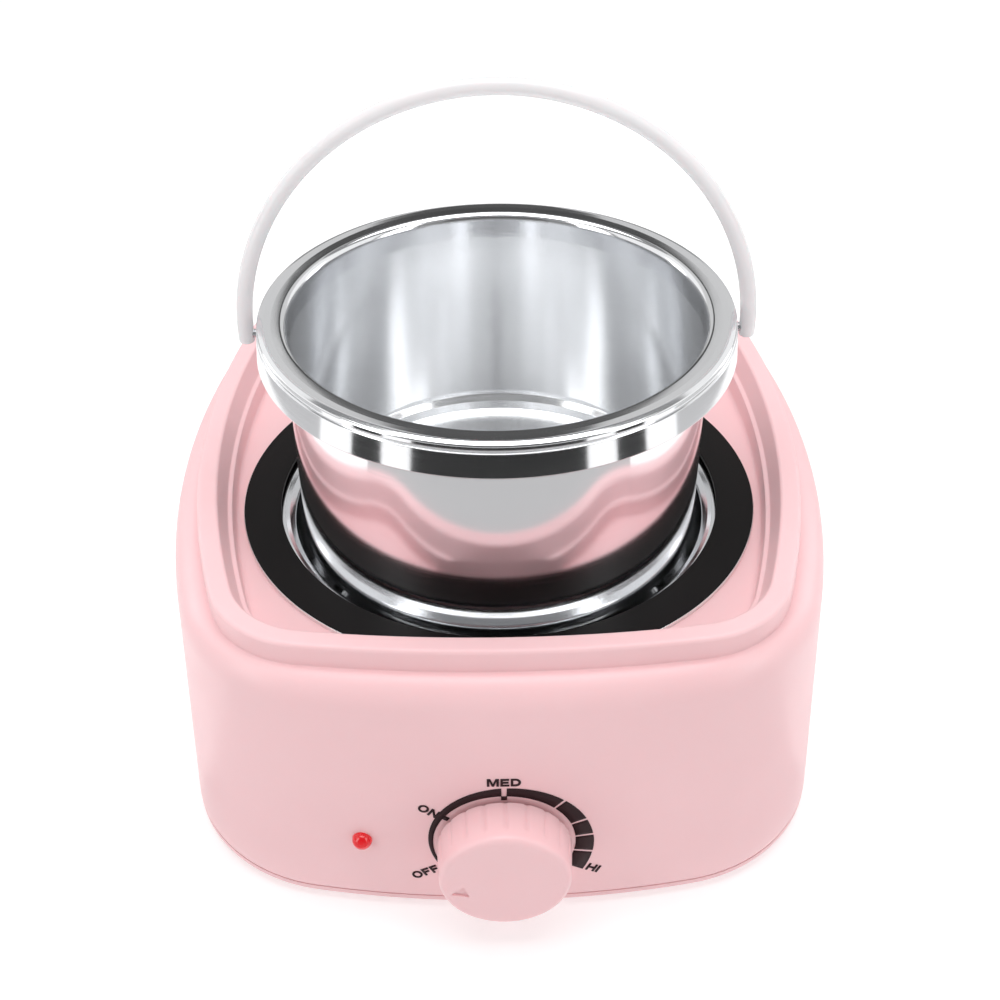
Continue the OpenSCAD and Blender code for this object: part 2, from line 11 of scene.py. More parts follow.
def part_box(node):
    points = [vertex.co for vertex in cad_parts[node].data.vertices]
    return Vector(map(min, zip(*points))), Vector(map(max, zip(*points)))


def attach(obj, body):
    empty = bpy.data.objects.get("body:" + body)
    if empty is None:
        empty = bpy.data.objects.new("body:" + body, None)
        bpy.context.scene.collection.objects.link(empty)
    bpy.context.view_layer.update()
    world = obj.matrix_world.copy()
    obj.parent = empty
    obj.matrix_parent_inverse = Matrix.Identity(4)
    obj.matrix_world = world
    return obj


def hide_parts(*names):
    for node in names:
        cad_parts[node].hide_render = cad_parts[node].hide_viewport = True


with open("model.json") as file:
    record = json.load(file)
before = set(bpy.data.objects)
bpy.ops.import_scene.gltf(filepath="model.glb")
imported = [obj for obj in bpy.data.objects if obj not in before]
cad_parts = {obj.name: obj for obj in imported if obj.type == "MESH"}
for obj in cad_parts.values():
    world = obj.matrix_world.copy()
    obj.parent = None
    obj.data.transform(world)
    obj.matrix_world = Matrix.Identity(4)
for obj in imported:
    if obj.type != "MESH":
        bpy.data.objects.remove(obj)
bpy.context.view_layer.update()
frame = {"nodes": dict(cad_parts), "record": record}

MM = 0.001
WELL_LOW, WELL_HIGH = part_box("heating_well")
SHIFT = (WELL_LOW[1] + WELL_HIGH[1]) / 2 / MM


def top_of(node):
    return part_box(node)[1][2] / MM


def low_of(node):
    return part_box(node)[0][2] / MM


def middle_of(node):
    low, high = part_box(node)
    return [(low[i] + high[i]) / 2 / MM for i in range(3)]


# ---- sizes in millimetres, measured from the well's axis and the resting surface ----
# Each plan: radii of its front, front corner, side and back corner arcs; degrees the front arc runs
# and the side arcs run ahead of and behind sideways; and how far its front lies ahead of the axis.
FOOT_PLAN = ((319.0, 52.9, 277.5, 52.0), (10.4, 14.8, 14.0), 96.6)
TOP_PLAN = ((324.5, 49.5, 278.7, 51.7), (9.6, 15.9, 13.7), 96.6)
LIP_PLAN = ((405.0, 32.3, 281.0, 43.0), (8.0, 17.6, 12.4), 88.5)
BACK_TURN = 78.0
FOOT_Z = 5.0
WALL_TOP = 82.5
LIP_TOP = top_of("housing")
SHOULDER_TOP = LIP_TOP - 7.3
LIP_W = 6.1
WALL_T = 2.6
DECK_Z = top_of("deck_ring")
DECK_T = 2.4
RING_T = 1.2
RING_R = 81.4
RING_IN = 69.6
WELL_R = 64.5
WELL_OUT = 65.7
FLANGE_R = 71.2
FLANGE_LOW = 84.35
FLANGE_TOP = 85.45
WELL_FLOOR = 21.0
POT_LOW = low_of("wax_pot")
POT_H = top_of("pot_rim") - POT_LOW
SKIRT_H = 10.5
POT_R = 62.8
POT_IN = 61.3
BASE_Z = 2.2
BASE_TOP = 5.2
KNOB_Z = middle_of("control_knob")[2]
LAMP_X, LAMP_Z = middle_of("indicator_lens")[0], middle_of("indicator_lens")[2]
PIVOT_Z = middle_of("bail_pins")[2]
BAIL_R, BAIL_T = 74.3, 2.35

FRONT_R = FOOT_PLAN[0][0]
FRONT_Y = -FOOT_PLAN[2]
FRONT_CY = FRONT_Y + FRONT_R


# ---- mesh helpers ----
def along(a):
    return Vector((math.cos(math.radians(a)), math.sin(math.radians(a))))


def plan_points(plan, k):
    """A D-shaped plan of tangent arcs drawn in by k millimetres, anticlockwise from the front."""
    (r_front, r_corner, r_side, r_back), (front_turn, ahead, behind), front = plan
    centre = Vector((0, r_front - front))
    arcs = [(centre.copy(), r_front, -90, front_turn - 90, 20)]
    centre += (r_front - r_corner) * along(front_turn - 90)
    arcs.append((centre.copy(), r_corner, front_turn - 90, -ahead, 46))
    centre += (r_corner - r_side) * along(-ahead)
    arcs.append((centre.copy(), r_side, -ahead, behind, 24))
    centre += (r_side - r_back) * along(behind)
    arcs.append((centre.copy(), r_back, behind, BACK_TURN, 40))
    r_wall = r_back + centre.x / math.cos(math.radians(BACK_TURN))
    middle = Vector((0, centre.y + (r_back - r_wall) * math.sin(math.radians(BACK_TURN))))
    arcs.append((middle, r_wall, BACK_TURN, 90, 14))
    half = [Vector((0, k - front))]
    for c, r, a0, a1, n in arcs:
        half += [c + (r - k) * along(a0 + (a1 - a0) * i / n) for i in range(1, n + 1)]
    return [(v.x, v.y) for v in half] + [(-v.x, v.y) for v in half[-2:0:-1]]


def mixed(a, b, w):
    return [(p[0] * (1 - w) + q[0] * w, p[1] * (1 - w) + q[1] * w) for p, q in zip(a, b)]


def wall_plan(k, z):
    """The wall's plan at height z: its sides draw in with height and its front stays upright."""
    return mixed(plan_points(FOOT_PLAN, k), plan_points(TOP_PLAN, k), (z - FOOT_Z) / (WALL_TOP - FOOT_Z))


def rounded(corners, steps=5):
    """A polyline from (a, b, radius) corners, each one turned by an arc of that radius."""
    out = []
    for i, (a, b, r) in enumerate(corners):
        here = Vector((a, b))
        if r <= 0 or i in (0, len(corners) - 1):
            out.append((a, b))
            continue
        before = Vector(corners[i - 1][:2]) - here
        after = Vector(corners[i + 1][:2]) - here
        turn = before.angle(after)
        reach = r / math.tan(turn / 2)
        reach = min(reach, before.length * 0.49, after.length * 0.49)
        r_used = reach * math.tan(turn / 2)
        p0 = here + before.normalized() * reach
        p1 = here + after.normalized() * reach
        inward = (before.normalized() + after.normalized()).normalized()
        middle = here + inward * (r_used / math.sin(turn / 2))
        v0, v1 = p0 - middle, p1 - middle
        sweep = v0.angle_signed(v1)
        for s in range(steps + 1):
            t = -sweep * s / steps
            c, d = math.cos(t), math.sin(t)
            out.append((middle.x + v0.x * c - v0.y * d, middle.y + v0.x * d + v0.y * c))
    return out


def make_object(name, vertices, faces, materials, face_slots=None, weighted=True):
    mesh = bpy.data.meshes.new(name)
    mesh.from_pydata([(x * MM, (y + SHIFT) * MM, z * MM) for x, y, z in vertices], [], faces)
    for m in materials:
        mesh.materials.append(m)
    mesh.polygons.foreach_set("use_smooth", [True] * len(mesh.polygons))
    if face_slots:
        mesh.polygons.foreach_set("material_index", face_slots)
    work = bmesh.new()
    work.from_mesh(mesh)
    bmesh.ops.remove_doubles(work, verts=work.verts, dist=1e-7)
    bmesh.ops.recalc_face_normals(work, faces=work.faces)
    work.to_mesh(mesh)
    work.free()
    obj = bpy.data.objects.new(name, mesh)
    bpy.context.scene.collection.objects.link(obj)
    if weighted:
        normals = obj.modifiers.new("normals", "WEIGHTED_NORMAL")
        normals.keep_sharp = True
    return obj


def loft(rings, closed_ends=(False, False), slots=None):
    """Faces through equal closed rings of points. Returns vertices, faces and material slots."""
    n = len(rings[0])
    vertices = [p for ring in rings for p in ring]
    faces, used = [], []
    for j in range(len(rings) - 1):
        for i in range(n):
            i1 = (i + 1) % n
            faces.append((j * n + i, j * n + i1, (j + 1) * n + i1, (j + 1) * n + i))
            used.append(slots[j] if slots else 0)
    if closed_ends[0]:
        faces.append(tuple(range(n - 1, -1, -1)))
        used.append(slots[0] if slots else 0)
    if closed_ends[1]:
        faces.append(tuple((len(rings) - 1) * n + i for i in range(n)))
        used.append(slots[-1] if slots else 0)
    return vertices, faces, used


def lathe(name, profile, materials, segments=256, slots=None):
    """A closed turning of (radius, height) points round the well's axis."""
    turns = [2 * math.pi * i / segments for i in range(segments)]
    rings = [[(r * math.cos(a), r * math.sin(a), z) for a in turns] for r, z in profile]
    vertices, faces, used = loft(rings, slots=slots)
    return make_object(name, vertices, faces, materials, used)


# ---- materials ----
def shader(name):
    material = bpy.data.materials.new(name)
    material.use_nodes = True
    tree = material.node_tree
    principled = tree.nodes["Principled BSDF"]
    return material, tree, principled


def node(tree, kind, **values):
    made = tree.nodes.new(kind)
    for key, value in values.items():
        if key.startswith("in_"):
            made.inputs[key[3:].replace("_", " ")].default_value = value
        else:
            setattr(made, key, value)
    return made


def ramp(tree, source, stops):
    made = tree.nodes.new("ShaderNodeValToRGB")
    elements = made.color_ramp.elements
    while len(elements) < len(stops):
        elements.new(0.5)
    for element, (at, colour) in zip(elements, stops):
        element.position = at
        element.color = (*colour, 1.0) if len(colour) == 3 else colour
    tree.links.new(source, made.inputs["Fac"])
    return made.outputs["Color"]


def noise(tree, scale, detail=4.0, roughness=0.5, stretch=(1, 1, 1)):
    """Noise in the object's own coordinates, which are metres in the shared frame."""
    coordinates = node(tree, "ShaderNodeTexCoord")
    mapping = node(tree, "ShaderNodeMapping")
    mapping.inputs["Scale"].default_value = stretch
    tree.links.new(coordinates.outputs["Object"], mapping.inputs["Vector"])
    made = node(tree, "ShaderNodeTexNoise", in_Scale=scale, in_Detail=detail, in_Roughness=roughness)
    tree.links.new(mapping.outputs["Vector"], made.inputs["Vector"])
    return made.outputs["Fac"]


def spread(tree, source, low, high):
    """Maps a 0 to 1 value to low to high."""
    made = node(tree, "ShaderNodeMapRange")
    made.inputs["From Min"].default_value = 0.3
    made.inputs["From Max"].default_value = 0.7
    made.inputs["To Min"].default_value = low
    made.inputs["To Max"].default_value = high
    tree.links.new(source, made.inputs["Value"])
    return made.outputs["Result"]


def bump(tree, principled, source, strength, distance=0.0002):
    made = node(tree, "ShaderNodeBump", in_Strength=strength, in_Distance=distance)
    tree.links.new(source, made.inputs["Height"])
    tree.links.new(made.outputs["Normal"], principled.inputs["Normal"])


def moulded(name, colour, roughness=0.32, specular=0.5, vary=0.02, grain=0.03, subsurface=0.0):
    """Injection-moulded plastic: faint colour drift, fine orange peel and an uneven gloss."""
    material, tree, principled = shader(name)
    drift = noise(tree, 18.0, 3.0)
    low = tuple(c * (1 - vary) for c in colour)
    high = tuple(min(1.0, c * (1 + vary)) for c in colour)
    tree.links.new(ramp(tree, drift, [(0.3, low), (0.7, high)]), principled.inputs["Base Color"])
    tree.links.new(spread(tree, noise(tree, 60.0, 5.0), roughness * 0.9, roughness * 1.1),
                   principled.inputs["Roughness"])
    bump(tree, principled, noise(tree, 900.0, 3.0, 0.6), grain, 0.0001)
    principled.inputs["Specular IOR Level"].default_value = specular
    if subsurface:
        principled.inputs["Subsurface Weight"].default_value = subsurface
        principled.inputs["Subsurface Radius"].default_value = (0.006, 0.003, 0.003)
        principled.inputs["Subsurface Scale"].default_value = 0.5
    return material


def turned_metal(name, colour, low, high, lines=0.05, across=(1, 1, 60), scale=40.0, distance=0.00005,
                 grain_along=0.0, metallic=1.0):
    """Spun metal: polishing lines run round the piece, and the polish is slightly uneven."""
    material, tree, principled = shader(name)
    principled.inputs["Metallic"].default_value = metallic
    drift = noise(tree, 25.0, 3.0)
    dark = tuple(c * 0.96 for c in colour)
    tree.links.new(ramp(tree, drift, [(0.3, dark), (0.7, colour)]), principled.inputs["Base Color"])
    streaks = noise(tree, scale, 6.0, 0.6, across)
    tree.links.new(spread(tree, streaks, low, high), principled.inputs["Roughness"])
    bump(tree, principled, streaks, lines, distance)
    if grain_along:
        tangent = node(tree, "ShaderNodeTangent", direction_type="RADIAL", axis="Z")
        tree.links.new(tangent.outputs["Tangent"], principled.inputs["Tangent"])
        principled.inputs["Anisotropic"].default_value = grain_along
        principled.inputs["Anisotropic Rotation"].default_value = 0.25
    return material


def rough_solid(name, colour, roughness=0.7, vary=0.06, grain=0.25, scale=500.0, specular=0.5):
    """A plain working material with a visible grain: rubber, ceramic, mica, cord sheath."""
    material, tree, principled = shader(name)
    speckle = noise(tree, scale, 4.0, 0.6)
    low = tuple(c * (1 - vary) for c in colour)
    high = tuple(min(1.0, c * (1 + vary)) for c in colour)
    tree.links.new(ramp(tree, speckle, [(0.3, low), (0.7, high)]), principled.inputs["Base Color"])
    tree.links.new(spread(tree, speckle, roughness * 0.88, min(1.0, roughness * 1.12)),
                   principled.inputs["Roughness"])
    bump(tree, principled, speckle, grain, 0.0001)
    principled.inputs["Specular IOR Level"].default_value = specular
    return material


PINK = (0.93, 0.60, 0.62)
M = {
    "housing_plastic": moulded("housing_plastic", PINK, 0.38, subsurface=0.15, grain=0.04),
    "base_plastic": moulded("base_plastic", tuple(c * 0.97 for c in PINK), 0.42, grain=0.05),
    "knob_plastic": moulded("knob_plastic", PINK, 0.34, subsurface=0.15, grain=0.04),
    "bail_plastic": moulded("bail_plastic", (0.84, 0.82, 0.83), 0.25, vary=0.01, subsurface=0.2, grain=0.03),
    "dial_ink": moulded("dial_ink", (0.034, 0.015, 0.017), 0.6, specular=0.2, vary=0.1, grain=0.05),
    "black_coating": rough_solid("black_coating", (0.0024, 0.0015, 0.0017), 0.40, 0.2, 0.12, 1400.0,
                                 specular=0.16),
    "bare_edge": turned_metal("bare_edge", (0.8, 0.8, 0.8), 0.2, 0.35),
    "aluminium": turned_metal("aluminium", (0.86, 0.87, 0.89), 0.10, 0.18),
    "pot_outside": turned_metal("pot_outside", (0.90, 0.905, 0.92), 0.07, 0.13, 0.03),
    "pot_body": turned_metal("pot_body", (0.93, 0.935, 0.945), 0.07, 0.12, 0.05, grain_along=0.6),
    "pot_inside": turned_metal("pot_inside", (0.94, 0.95, 0.965), 0.15, 0.21, 0.04, grain_along=0.8,
                               metallic=0.88),
    "steel": turned_metal("steel", (0.62, 0.63, 0.65), 0.22, 0.36),
    "brass": turned_metal("brass", (0.8, 0.6, 0.28), 0.25, 0.4),
    "rubber": rough_solid("rubber", (0.022, 0.021, 0.021), 0.75),
    "black_plastic": rough_solid("black_plastic", (0.02, 0.02, 0.02), 0.5, grain=0.1),
    "white_plastic": rough_solid("white_plastic", (0.8, 0.79, 0.74), 0.5, grain=0.1),
    "ceramic": rough_solid("ceramic", (0.75, 0.71, 0.62), 0.65),
    "mica": rough_solid("mica", (0.42, 0.36, 0.26), 0.45, vary=0.2),
    "glass_fibre": rough_solid("glass_fibre", (0.74, 0.72, 0.64), 0.9, vary=0.12, grain=0.6, scale=300.0),
    "neon_glass": moulded("neon_glass", (0.9, 0.4, 0.2), 0.1),
    "wire_brown": rough_solid("wire_brown", (0.12, 0.05, 0.025), 0.5, grain=0.1),
    "wire_red": rough_solid("wire_red", (0.4, 0.03, 0.025), 0.5, grain=0.1),
    "wire_blue": rough_solid("wire_blue", (0.03, 0.08, 0.35), 0.5, grain=0.1),
    "wire_green": rough_solid("wire_green", (0.1, 0.35, 0.06), 0.5, grain=0.1),
}


def lens_material():
    material, tree, principled = shader("red_lens")
    glow = noise(tree, 300.0, 2.0)
    tree.links.new(ramp(tree, glow, [(0.3, (0.50, 0.003, 0.005)), (0.7, (0.62, 0.006, 0.010))]),
                   principled.inputs["Base Color"])
    principled.inputs["Roughness"].default_value = 0.08
    principled.inputs["Coat Weight"].default_value = 0.6
    principled.inputs["Emission Color"].default_value = (0.9, 0.01, 0.02, 1)
    principled.inputs["Emission Strength"].default_value = 0.25
    return material


M["red_lens"] = lens_material()

for part in frame["record"]["subparts"]:
    obj = frame["nodes"].get(part["node"])
    if obj is None:
        continue
    for slot in range(max(1, len(obj.material_slots))):
        if obj.material_slots:
            obj.material_slots[slot].material = M[part["material_slot"]]


def on_body(obj, body, slot_name, *replaced):
    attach(obj, body)
    if replaced:
        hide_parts(*replaced)
    return obj


# ---- housing skin ----
def at_height(plan, z):
    return [(x, y, z) for x, y in plan]


def housing_skin():
    floor = DECK_Z - RING_T
    rings = [at_height(wall_plan(k, BASE_TOP + up), BASE_TOP + up)
             for k, up in ((1.0, 0.0), (0.55, 0.12), (0.2, 0.42), (0.0, 1.0))]
    rings += [at_height(wall_plan(0, z), z) for z in (12, 25, 40, 55, 70, WALL_TOP)]
    top, lip = plan_points(TOP_PLAN, 0), plan_points(LIP_PLAN, 0)
    for i in range(1, 17):
        a = math.radians(85 * i / 16)
        z = WALL_TOP + (SHOULDER_TOP - WALL_TOP) * math.sin(a)
        rings.append(at_height(mixed(top, lip, 1 - math.cos(a)), z))
    # the lip's section: inset from the lip's plan, height and corner radius
    section = rounded([(-0.7, SHOULDER_TOP, 0), (0, SHOULDER_TOP, 0.5), (0, LIP_TOP, 1.3),
                       (LIP_W, LIP_TOP, 1.1), (LIP_W + 2.6, 93.5, 0.8), (LIP_W + 4, 92.9, 0.6),
                       (LIP_W + 4.6, floor, 0.9), (LIP_W + 6.4, floor, 0)], 6)
    # the recess keeps clear of the deck ring, then the deck runs in to the well's flange
    clear = RING_R + 0.3
    for k, z in section[1:]:
        ring = []
        for x, y in plan_points(LIP_PLAN, k):
            out = math.hypot(x, y)
            if k > LIP_W + 0.2 and out < clear:
                x, y = x * clear / out, y * clear / out
            ring.append((x, y, z))
        rings.append(ring)
    edge = rings[-1]
    for t in (0.25, 0.5, 0.75, 1.0):
        ring = []
        for x, y, z in edge:
            out = math.hypot(x, y)
            r = out + (FLANGE_R + 0.4 - out) * t
            ring.append((x * r / out, y * r / out, floor))
        rings.append(ring)
    rings.append([(x, y, floor - DECK_T) for x, y, z in rings[-1]])
    # the underside of the deck and the inside of the wall, so that the shell has its thickness
    rings.append(at_height(wall_plan(WALL_T, floor - DECK_T), floor - DECK_T))
    rings.append(at_height(wall_plan(WALL_T, BASE_TOP), BASE_TOP))
    rings.append(at_height(wall_plan(1.0, BASE_TOP), BASE_TOP))
    vertices, faces, used = loft(rings)
    return make_object("housing_skin", vertices, faces, [M["housing_plastic"]], used)


on_body(housing_skin(), "housing", "housing_plastic", "housing")


def base_rim():
    levels = rounded([(6.0, BASE_Z - 0.02, 0), (1.5, BASE_Z - 0.02, 1.0), (0.1, BASE_Z + 1.3, 0.8),
                      (0.1, BASE_TOP - 0.1, 0.7), (1.8, BASE_TOP - 0.1, 0)], 5)
    vertices, faces, used = loft([at_height(plan_points(FOOT_PLAN, k), z) for k, z in levels])
    return make_object("base_rim", vertices, faces, [M["base_plastic"]], used)


on_body(base_rim(), "housing", "base_plastic")


# ---- deck ring and well ----
def deck_ring():
    z0, z1 = DECK_Z - RING_T, DECK_Z
    profile = rounded([(RING_IN, z0, 0), (RING_IN, z1, 0.2), (RING_R - 0.22, z1, 0), (RING_R, z1 - 0.22, 0),
                       (RING_R, z0, 0)], 3)
    slots = [1 if p[0] > RING_R - 0.3 else 0 for p in profile]
    return lathe("deck_ring_skin", profile, [M["black_coating"], M["bare_edge"]], slots=slots)


on_body(deck_ring(), "housing", "black_coating", "deck_ring")


def well():
    """A deep cup whose rolled edge ends in a flat flange under the deck ring."""
    outside = [(0, WELL_FLOOR - 1.8, 0), (WELL_OUT, WELL_FLOOR - 1.8, 5), (WELL_OUT, FLANGE_LOW - 3.7, 1.0),
               (WELL_OUT + 2.8, FLANGE_LOW, 0.4)]
    flange = [(FLANGE_R, FLANGE_LOW, 0.05), (FLANGE_R, FLANGE_TOP, 0.25), (68.5, FLANGE_TOP, 0.3),
              (67.9, FLANGE_TOP - 0.35, 0.2), (67.2, FLANGE_TOP - 0.75, 0.3), (65.1, FLANGE_TOP - 2.5, 2.4)]
    inside = [(WELL_R, FLANGE_TOP - 5.0, 1.5), (WELL_R, WELL_FLOOR, 4), (0, WELL_FLOOR, 0)]
    profile = rounded(outside + flange + inside, 8)
    return lathe("heating_well_skin", profile, [M["aluminium"]])


on_body(well(), "housing", "aluminium", "heating_well")


# ---- wax pot ----
def pot():
    """A straight-sided cup under a crowned rim with a hanging skirt."""
    z = POT_LOW
    h = POT_H
    outside = rounded([(0, 0.6, 0), (52.4, 0.6, 0.3), (52.9, 0, 0.3), (POT_R, 0, 5), (POT_R, h - 3.4, 0.8),
                       (69.1, h - 3.6, 0.8), (69.6, h - SKIRT_H, 0.2)], 7)
    band = rounded([(69.7, h - SKIRT_H, 0), (71.0, h - SKIRT_H, 0.45), (70.35, h - 2.95, 0.25),
                    (69.8, h - 2.7, 0.12), (69.8, h - 2.15, 0.12), (70.1, h - 1.9, 0.15),
                    (70.05, h - 0.5, 0.8), (68.2, h, 3.0), (66.0, h - 0.1, 3.0), (POT_IN, h - 0.6, 3.2),
                    (POT_IN, h - 8, 0)], 9)
    inside = rounded([(POT_IN, h - 8.5, 0), (61.1, 7, 3), (59.0, 4.6, 0.8), (57.8, 2, 0.6), (0, 2, 0)], 9)
    profile = outside + band + inside
    slots = [2] * len(outside) + [0] * len(band) + [1] * len(inside)
    return lathe("wax_pot_skin", [(r, z + dz) for r, dz in profile],
                 [M["pot_outside"], M["pot_inside"], M["pot_body"]], segments=320, slots=slots)


on_body(pot(), "pot", "aluminium", "wax_pot", "pot_rim")


# ---- bail ----
def bail():
    """A round bar bent to a half circle, cut nearly flat just below its pivots."""
    drop, end_round = 2.1, 0.6
    path = [(BAIL_R * math.cos(math.pi * i / 120), BAIL_R * math.sin(math.pi * i / 120), math.pi * i / 120)
            for i in range(121)]
    path = [(BAIL_R, -drop, 0.0)] + path + [(-BAIL_R, -drop, math.pi)]
    section = 40
    rings = []
    for x, z, a in path:
        ring = []
        for j in range(section):
            t = 2 * math.pi * j / section
            out, side = BAIL_T * math.cos(t), BAIL_T * math.sin(t)
            ring.append((x + out * math.cos(a), side, PIVOT_Z + z + out * math.sin(a)))
        rings.append(ring)
    for end, sign in ((0, 1), (-1, -1)):
        tip = []
        for s in range(1, 8):
            a = math.radians(90 * min(s, 6) / 6)
            size = 0.05 if s == 7 else 1 - end_round / BAIL_T * (1 - math.cos(a))
            tip.append([(sign * BAIL_R + (x - sign * BAIL_R) * size, y * size, z - end_round * math.sin(a))
                        for x, y, z in rings[end]])
        rings = (tip[::-1] + rings) if sign == 1 else (rings + tip)
    vertices, faces, used = loft(rings, closed_ends=(True, True))
    return make_object("bail_skin", vertices, faces, [M["bail_plastic"]], used)


on_body(bail(), "bail", "bail_plastic", "bail_handle")


# ---- knob ----
KNOB_GAP = 1.2
KNOB_L = (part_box("control_knob")[1][1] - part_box("control_knob")[0][1]) / MM
KNOB_R = 19.8
OFF_ANGLE = 107.0
FLUTES = 20
FLUTE_DEEP, FLUTE_HALF, FLUTE_STOP = 0.42, 0.62, 3.9


def on_front(x, y, z):
    """From a frame with Z out of the front wall and Y up, at the knob's axis, to the shared one."""
    return (x, FRONT_Y - z, KNOB_Z + y)


def knob():
    """A drum with shallow flutes round its side and a triangular pointer sunk in its face."""
    z0, z1 = KNOB_GAP, KNOB_GAP + KNOB_L
    profile = rounded([(5.9, z0 + 5, 0), (5.9, z1 - 2.2, 0), (16.8, z1 - 2.2, 0), (17.6, z0, 0.1),
                       (KNOB_R, z0, 0.35), (KNOB_R - 0.9, z1, 2.1), (0.0, z1, 0)], 10)
    dense = [profile[0]]
    for a, b in zip(profile, profile[1:]):
        steps = 18 if abs(b[1] - a[1]) > 5 and a[0] > 18 else 1
        dense += [(a[0] + (b[0] - a[0]) * s / steps, a[1] + (b[1] - a[1]) * s / steps)
                  for s in range(1, steps + 1)]
    segments = 480
    rings = []
    for r, z in dense:
        ring = []
        for i in range(segments):
            t = 360 * i / segments
            near = (t + 180 / FLUTES) % (360 / FLUTES) - 180 / FLUTES
            away = abs(math.radians(near)) * KNOB_R
            fade = min(1.0, max(0.0, (z1 - FLUTE_STOP - z) / 1.2))
            depth = FLUTE_DEEP * math.exp(-(away / FLUTE_HALF) ** 2) * fade if r > 18 else 0.0
            a = math.radians(t + 90 + OFF_ANGLE)
            ring.append(on_front((r - depth) * math.cos(a), (r - depth) * math.sin(a), z))
        rings.append(ring)
    vertices, faces, used = loft(rings)
    obj = make_object("control_knob_skin", vertices, faces, [M["knob_plastic"]], used)
    a = math.radians(90 + OFF_ANGLE)
    outward, across = Vector((math.cos(a), math.sin(a))), Vector((-math.sin(a), math.cos(a)))
    corners = [outward * 16.3, outward * 11.6 + across * 2.6, outward * 11.6 - across * 2.6]
    pocket = [on_front(c.x, c.y, z) for z in (z1 - 0.7, z1 + 1) for c in corners]
    sides = [(0, 1, 2), (5, 4, 3), (0, 3, 4, 1), (1, 4, 5, 2), (2, 5, 3, 0)]
    cutter = make_object("pointer_cut", pocket, sides, [M["knob_plastic"]], weighted=False)
    cut = obj.modifiers.new("pointer", "BOOLEAN")
    cut.operation = "DIFFERENCE"
    cut.object = cutter
    cut.solver = "EXACT"
    bpy.context.view_layer.objects.active = obj
    bpy.ops.object.modifier_move_to_index(modifier="pointer", index=0)
    bpy.ops.object.modifier_apply(modifier="pointer")
    bpy.data.objects.remove(cutter)
    obj.data.set_sharp_from_angle(angle=math.radians(35))
    return obj


on_body(knob(), "knob", "knob_plastic", "control_knob")


# ---- dial print: arc, ticks and generic words, wrapped on the bulged front wall ----
DIAL_R = 20.9
PRINT_IN, PRINT_OUT = 0.02, 0.16
# each patch: its start and end in degrees clockwise from the top, and its width at each
DIAL_STOPS = [(-120, -1.9, 0.7, 3.2), (1.9, 43.0, 3.2, 4.1), (45.0, 67.6, 4.2, 4.8), (69.6, 83.5, 4.8, 5.2),
              (85.5, 100.5, 5.3, 5.6), (102.5, 119.7, 5.6, 5.9)]


def wall_y(x, proud):
    """Where the bulged front wall lies at x, proud millimetres out from it."""
    return FRONT_CY - math.sqrt((FRONT_R + proud) ** 2 - x * x)


def print_patch(points_in, points_out, vertices, faces):
    """Adds a thin strip of print between two rows of (x, z) points."""
    start = len(vertices)
    n = len(points_in)
    for proud in (PRINT_IN, PRINT_OUT):
        for ring in (points_in, points_out):
            vertices += [(x, wall_y(x, proud), z) for x, z in ring]
    for i in range(n - 1):
        for lower, upper, flip in ((0, 1, False), (2, 3, True)):
            quad = (start + lower * n + i, start + lower * n + i + 1, start + upper * n + i + 1,
                    start + upper * n + i)
            faces.append(quad[::-1] if flip else quad)
        for a, b in ((0, 2), (3, 1)):
            p, q = start + a * n + i, start + b * n + i
            faces.append((p, q, q + 1, p + 1))
    for i in (0, n - 1):
        faces.append((start + i, start + n + i, start + 3 * n + i, start + 2 * n + i))


def dial_print():
    """The printed arc in its six patches, with a tick inside it at ON and at MED."""
    vertices, faces = [], []
    r = DIAL_R
    for a0, a1, t0, t1 in DIAL_STOPS:
        steps = max(4, int(abs(a1 - a0) / 2))
        ring_in, ring_out = [], []
        for i in range(steps + 1):
            a = math.radians(a0 + (a1 - a0) * i / steps)
            t = t0 + (t1 - t0) * i / steps
            ring_in.append((r * math.sin(a), KNOB_Z + r * math.cos(a)))
            ring_out.append(((r + t) * math.sin(a), KNOB_Z + (r + t) * math.cos(a)))
        print_patch(ring_in, ring_out, vertices, faces)
    for at, r0, r1, half in ((-56.5, 19.3, DIAL_R + 0.1, 0.8), (0, 19.3, DIAL_R - 0.1, 0.85)):
        a = math.radians(at)
        u, v = (math.sin(a), math.cos(a)), (math.cos(a), -math.sin(a))
        rows = [[(u[0] * r + v[0] * s, KNOB_Z + u[1] * r + v[1] * s) for s in (-half, half)]
                for r in (r0, r1)]
        print_patch(rows[0], rows[1], vertices, faces)
    return make_object("dial_print", vertices, faces, [M["dial_ink"]], weighted=False)


on_body(dial_print(), "housing", "dial_ink", "dial_ring")


LETTER_H = 3.1
STROKE = 0.72


